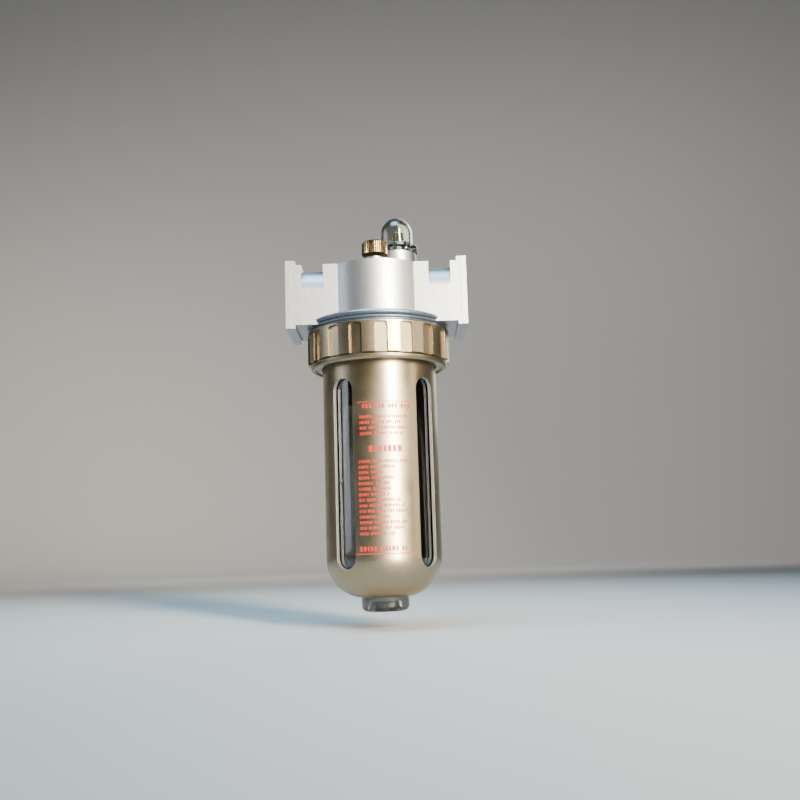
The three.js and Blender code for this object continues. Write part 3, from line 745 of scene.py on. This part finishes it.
def clear_bowl():
    """The clear oil bowl: a neck with the seal's groove, a flange, a rounded end and a small foot."""
    radius, wall, foot, bottom = BOWL["radius"], BOWL["wall"], BOWL["foot"], BOWL["foot_bottom"]
    corner = radius - CORNER_AT[0]
    groove, low, high = BOWL_NECK["groove"], BOWL_NECK["groove_bottom"], BOWL_NECK["groove_top"]
    outside = [(radius, BOWL_NECK["top"]), (radius, high), (groove, high), (groove, low), (radius, low)]
    outside += [(radius, BOWL_FLANGE["top"]), (BOWL_FLANGE["radius"], BOWL_FLANGE["top"])]
    outside += [(BOWL_FLANGE["radius"], BOWL_FLANGE["bottom"]), (radius, BOWL_FLANGE["bottom"])]
    outside += rounded_bottom(corner, foot)
    edge_round = BOWL["foot_round"]
    foot_edge = arc((foot - edge_round, bottom + edge_round), edge_round, 0, -90, 8)
    edge, recess_top = FOOT_RECESS["edge"], bottom + FOOT_RECESS["depth"]
    recess = [(FOOT_RECESS["radius"] + 0.2, bottom), (FOOT_RECESS["radius"], bottom + edge)]
    recess += [(FOOT_RECESS["top_radius"], recess_top), (0, recess_top)]
    inner_corner, bore = corner - wall, radius - wall
    neck_bore = bore - BOWL_NECK["thicker"]
    inside = [(0, CORNER_AT[1] - inner_corner)]
    inside += rounded_bottom(inner_corner, CORNER_AT[0])[::-1]
    inside += [(bore, BOWL_FLANGE["top"] - 0.9), (neck_bore, BOWL_FLANGE["top"] + 1.1)]
    inside += [(neck_bore, BOWL_NECK["top"])]
    # The outline runs from the axis under the foot, up the outside, over the neck and down the inside.
    profile = (outside + foot_edge + recess)[::-1] + inside[::-1]
    bowl = turned("bowl_visual", profile, BOWL_SIDES)
    smoothed(bowl, 35)
    return add(bowl, SHADE_TINTED_BOWL, "bowl_unit", "clear_plastic", "bowl")


# ------------------------------------------------------------------ the print on the guard
PRINT_RADIUS = GUARD["radius"] + 0.02
PRINT_THICKNESS = 0.03
# Angles go from the front towards +X. A block is a stack of lines that end at different angles.
LEVEL_LINES = (
    {"from": -21.8, "to": 40, "top": -51.15, "bottom": -51.5},
    {"from": -27.3, "to": 33, "top": -116.55, "bottom": -116.95},
)
HEADINGS = (
    {"from": -16.5, "to": 32, "top": -52.3, "bottom": -54.1},
    {"from": -22, "to": 27, "top": -113.6, "bottom": -115.6},
)
TITLE = {"from": -11, "to": 22.5, "top": -70.5, "bottom": -73.3}
UPPER_BLOCK = {"from": -19.5, "top": -57.2, "pitch": 2.43, "height": 1.35, "ends": (27, 22, 27.5, 24)}
LOWER_BLOCK = {
    "from": -21.5,
    "top": -76.6,
    "pitch": 2.38,
    "height": 1.3,
    "ends": (27, 14, 3, 16, 8, 12, 9, 18, 24, 25, 8, 27, 23, 14),
}
# How wide a dash and a gap are, and how few and how many dashes make one word.
HEADING_STYLE = {"dash": 2.3, "gap": 1.15, "word": (3, 5)}
TITLE_STYLE = {"dash": 3.6, "gap": 1.5, "word": (7, 8)}
UPPER_STYLE = {"dash": 1.35, "gap": 0.8, "word": (3, 7)}
LOWER_STYLE = {"dash": 1.35, "gap": 0.8, "word": (3, 8)}


def strip(points, faces, line):
    """Adds a thin curved strip to the print's points and faces."""
    start, end = line["from"], line["to"]
    steps = max(2, int(abs(end - start) / 1.5))
    first = len(points)
    for i in range(steps + 1):
        a = math.radians(start + (end - start) * i / steps)
        for r in (PRINT_RADIUS, PRINT_RADIUS + PRINT_THICKNESS):
            for z in (line["top"], line["bottom"]):
                points.append((r * math.sin(a), -r * math.cos(a), z))
    for i in range(steps):
        a, b = first + 4 * i, first + 4 * (i + 1)
        faces += [[a + 2, b + 2, b + 3, a + 3], [a, a + 1, b + 1, b], [a + 1, a + 3, b + 3, b + 1]]
        faces.append([a, b, b + 2, a + 2])
    last = first + 4 * steps
    faces += [[first, first + 2, first + 3, first + 1], [last, last + 1, last + 3, last + 2]]


def dashes(points, faces, line, style):
    """A row of small dashes in groups, which stands in for a line of printed words."""
    dash, angle, end = style["dash"], line["from"], line["to"]
    in_word = random.randint(*style["word"])
    while angle + dash < end:
        width = dash * random.uniform(0.7, 1.25)
        strip(points, faces, {**line, "from": angle, "to": min(angle + width, end)})
        angle += width + style["gap"]
        in_word -= 1
        if in_word == 0:
            angle += dash * 1.1
            in_word = random.randint(*style["word"])


def block_of_dashes(points, faces, block, style):
    """Rows of dashes, one below the other."""
    for i, end in enumerate(block["ends"]):
        top = block["top"] - block["pitch"] * i
        line = {"from": block["from"], "to": end, "top": top, "bottom": top - block["height"]}
        dashes(points, faces, line, style)


def level_print():
    """Two oil-level lines, with plain dashes where the real guard carries words."""
    random.seed(4)
    points, faces = [], []
    for line in LEVEL_LINES:
        strip(points, faces, line)
    for line in HEADINGS:
        dashes(points, faces, line, HEADING_STYLE)
    block_of_dashes(points, faces, UPPER_BLOCK, UPPER_STYLE)
    dashes(points, faces, TITLE, TITLE_STYLE)
    block_of_dashes(points, faces, LOWER_BLOCK, LOWER_STYLE)
    ink = from_points("level_print", points, faces)
    outward(ink)
    return add(ink, INK, "bowl_unit", "guard_silver")


# ------------------------------------------------------------------ dome, knob and siphon
def sight_dome():
    """The clear dome with its hexagonal base, and the hollow stem that screws into the boss."""
    radius, bottom = DOME["radius"], STEM["bottom"]
    centre, inner = DOME["top"] - radius, radius - DOME["wall"]
    hex_low = DOME_BOSS["top"] + DOME["gap"]
    hex_high = hex_low + DOME["hex_height"]
    stem = DOME_BOSS["bore"] - STEM["play"]
    stem_bore = stem - STEM["wall"]
    outside = [(stem, bottom), (stem, hex_low), (radius, hex_low)]
    outside += arc((0, centre), radius, 0, 90, 16)[:-1] + [(0, DOME["top"])]
    inside = [(0, centre + inner)] + arc((0, centre), inner, 90, 0, BEND)[1:]
    inside += [(inner, hex_high - 1), (stem_bore, hex_high - 1.6), (stem_bore, bottom)]
    dome = turned("sight_dome_visual", outside + inside, DOME_SIDES, DOME_AT)
    hexagon = arc(DOME_AT, DOME["hex"] / math.sqrt(3), 0, 300, 5)
    nut = pushed("hex", hexagon, hex_low, hex_high, along_z)
    combined(nut, post("hex_bore", radius - 0.4, hex_low - 1, hex_high + 1, DOME_AT), "DIFFERENCE")
    combined(dome, nut, "UNION")
    softened(dome, 0.3, 35)
    return add(dome, CLEAR_DOME, "head", "clear_plastic", "sight_dome")


def knurled_knob():
    """A brass head with a straight knurl and a shallow recess in its crown."""
    teeth, depth, radius = KNOB["teeth"], KNOB["tooth"], KNOB["radius"]
    low, high = KNOB["bottom"], KNOB["top"]
    # Each ring of points is (radius, height, share of the full tooth depth).
    rings = [
        (0, low, 0),
        (radius - 1.5, low, 0),
        (radius - 0.9, low + 0.15, 0.2),
        (radius, low + 0.8, 1),
        (radius, high - 0.75, 1),
        (radius - 0.55, high - 0.2, 0.5),
        (radius - 1.0, high, 0),
        (radius - 2.4, high, 0),
        (radius - 2.7, high - 0.2, 0),
        (0, high - 0.2, 0),
    ]
    per_tooth = (0, -0.15, -1, -0.15)  # a broad crest and a sharp root
    sides = teeth * len(per_tooth)
    points, faces = [], []
    for r, z, share in rings:
        for i in range(sides):
            a = 2 * math.pi * i / sides
            at = max(r + depth * share * per_tooth[i % len(per_tooth)], 0.001)
            points.append((KNOB_AT[0] + at * math.cos(a), KNOB_AT[1] + at * math.sin(a), z))
    for k in range(len(rings) - 1):
        for i in range(sides):
            j = (i + 1) % sides
            faces.append([k * sides + i, k * sides + j, (k + 1) * sides + j, (k + 1) * sides + i])
    knob = from_points("adjusting_knob_visual", points, faces)
    smoothed(knob, 30)
    return add(knob, KNURLED, "drip_screw", "brass", "adjusting_knob")


def siphon_tube():
    """The tube that oil rises through, seen through the slots."""
    bore, radius, low, high = SIPHON["bore"], SIPHON["radius"], SIPHON["bottom"], SIPHON["top"]
    profile = [(bore, low), (radius, low), (radius, high), (bore, high)]
    tube = turned("siphon_tube_visual", profile, COARSE, SIPHON_AT)
    smoothed(tube)
    return add(tube, CLEAR_TUBE, "head", "clear_plastic", "siphon_tube")


def siphon_strainer():
    """The brass strainer at the siphon's foot, a stack of fine rings with a rounded end."""
    radius, low, high, pitch = STRAINER["radius"], STRAINER["bottom"], STRAINER["top"], STRAINER["pitch"]
    profile = [(0, low)]
    z = low
    # Each ring is a flat band with a groove above it, and the lowest ones are a little smaller.
    while z + pitch < high:
        r = radius - max(0, (low + 1 - z)) * 0.9
        profile += [(r, z), (r, z + 0.25), (r - 0.3, z + 0.35)]
        z += pitch
    profile += [(radius, high), (0, high)]
    strainer = turned("siphon_strainer_visual", profile, COARSE, SIPHON_AT)
    smoothed(strainer)
    return add(strainer, BRASS, "head", "brass", "siphon_strainer")


def drip_funnel():
    """The white cup under the dome that catches the drops."""
    bore, rim, low, high = FUNNEL["bore"], FUNNEL["rim"], FUNNEL["bottom"], FUNNEL["top"]
    profile = [(bore, low), (FUNNEL["radius"], low), (rim, high), (rim - FUNNEL["rim_wall"], high)]
    funnel = turned("drip_funnel_visual", profile + [(bore, low + 0.8)], COARSE, DOME_AT)
    smoothed(funnel)
    return add(funnel, WHITE, "head", "white_plastic", "drip_funnel")


# ------------------------------------------------------------------ stage, lights and camera
MIDDLE = (0, 0, -0.06)  # of the lubricator, in metres
# A lamp's name, place and aim in metres, size in metres, power in watts, colour, and beam in degrees.
LAMPS = (
    ("key", (0.42, -0.85, 0.12), MIDDLE, (0.14, 0.8), 8, (1.0, 0.91, 0.76), 50),
    ("sky", (-0.1, -0.25, 0.85), MIDDLE, (1.0, 0.9), 3.8, (0.34, 0.7, 1.0), 50),
    ("left", (-0.9, -0.15, 0.15), MIDDLE, (0.3, 0.6), 0.2, (0.75, 0.85, 1.0), 50),
    ("right", (0.9, -0.3, 0.05), MIDDLE, (0.12, 0.7), 0.18, (1.0, 0.88, 0.7), 50),
    ("back", (0.35, 0.9, 0.35), MIDDLE, (0.6, 0.6), 0.5, (1.0, 0.97, 0.94), 60),
    ("backdrop", (0, 1.0, 0.7), (0, 2.4, 0.1), (1.2, 0.8), 11, (1, 1, 1), 180),
    ("front_wall", (0, -1.0, 0.9), (0, -2.4, 0.2), (1.2, 0.8), 2, (1, 1, 1), 180),
)
WORLD_STRENGTH = 0.08
CAMERA = {"at": (8.22, -446.7, -116.4), "pitch": 0.1541, "yaw": 0.0023, "roll": -0.0316, "lens": 44.08}


def stage():
    """A pale floor that curves up into a wall all round, far outside every camera."""
    floor_z = cad_bounds[0][2] / MM - FLOOR_GAP
    flat, curve, wall = STAGE["flat"], STAGE["curve"], STAGE["wall"]
    wall_top, outer = floor_z + STAGE["height"], wall + STAGE["thickness"]
    underside = floor_z - STAGE["thickness"]
    profile = [(0, floor_z), (flat, floor_z)]
    profile += arc((flat, floor_z + curve), curve, -90, 0, BEND)[1:] + [(wall, wall_top)]
    profile += [(outer, wall_top), (outer, underside), (0, underside)]
    floor = turned("floor", profile, 96)
    smoothed(floor, 60)
    dress(floor, pale_stage())


def softbox(name, place, aim, size, power, colour, spread):
    """A rectangular area light whose beam opens by `spread` degrees."""
    data = bpy.data.lights.new(name, "AREA")
    data.shape = "RECTANGLE"
    data.size, data.size_y = size
    data.energy = power
    data.spread = math.radians(spread)
    data.color = colour
    lamp = bpy.data.objects.new(name, data)
    bpy.context.scene.collection.objects.link(lamp)
    lamp.location = place
    lamp.rotation_euler = (Vector(aim) - Vector(place)).to_track_quat("-Z", "Y").to_euler()


def lights():
    """Every lamp, and a faint light from all round."""
    for lamp in LAMPS:
        softbox(*lamp)
    world = bpy.data.worlds.new("pale surroundings")
    world.use_nodes = True
    background = world.node_tree.nodes["Background"]
    background.inputs["Color"].default_value = (0.9, 0.93, 1.0, 1)
    background.inputs["Strength"].default_value = WORLD_STRENGTH
    bpy.context.scene.world = world


def camera():
    """Looks slightly up at the lubricator, from a little right of centre and level with its lower end."""
    pitch, yaw, roll = CAMERA["pitch"], CAMERA["yaw"], CAMERA["roll"]
    ahead = Vector((math.sin(yaw) * math.cos(pitch), math.cos(yaw) * math.cos(pitch), math.sin(pitch)))
    level = ahead.cross(Vector((0, 0, 1))).normalized()
    up = level.cross(ahead)
    right = level * math.cos(roll) + up * math.sin(roll)
    top = up * math.cos(roll) - level * math.sin(roll)
    turn = Matrix((right, top, -ahead)).transposed().to_4x4()
    data = bpy.data.cameras.new("camera")
    data.lens = CAMERA["lens"]
    data.sensor_width = 36
    data.clip_start = 0.01
    data.clip_end = 20
    eye = bpy.data.objects.new("camera", data)
    bpy.context.scene.collection.objects.link(eye)
    eye.matrix_world = Matrix.Translation(Vector(CAMERA["at"]) * MM) @ turn
    bpy.context.scene.camera = eye


dress_cad_nodes()
head()
retaining_ring()
bowl_guard()
clear_bowl()
level_print()
sight_dome()
knurled_knob()
siphon_tube()
siphon_strainer()
drip_funnel()
stage()
lights()
camera()
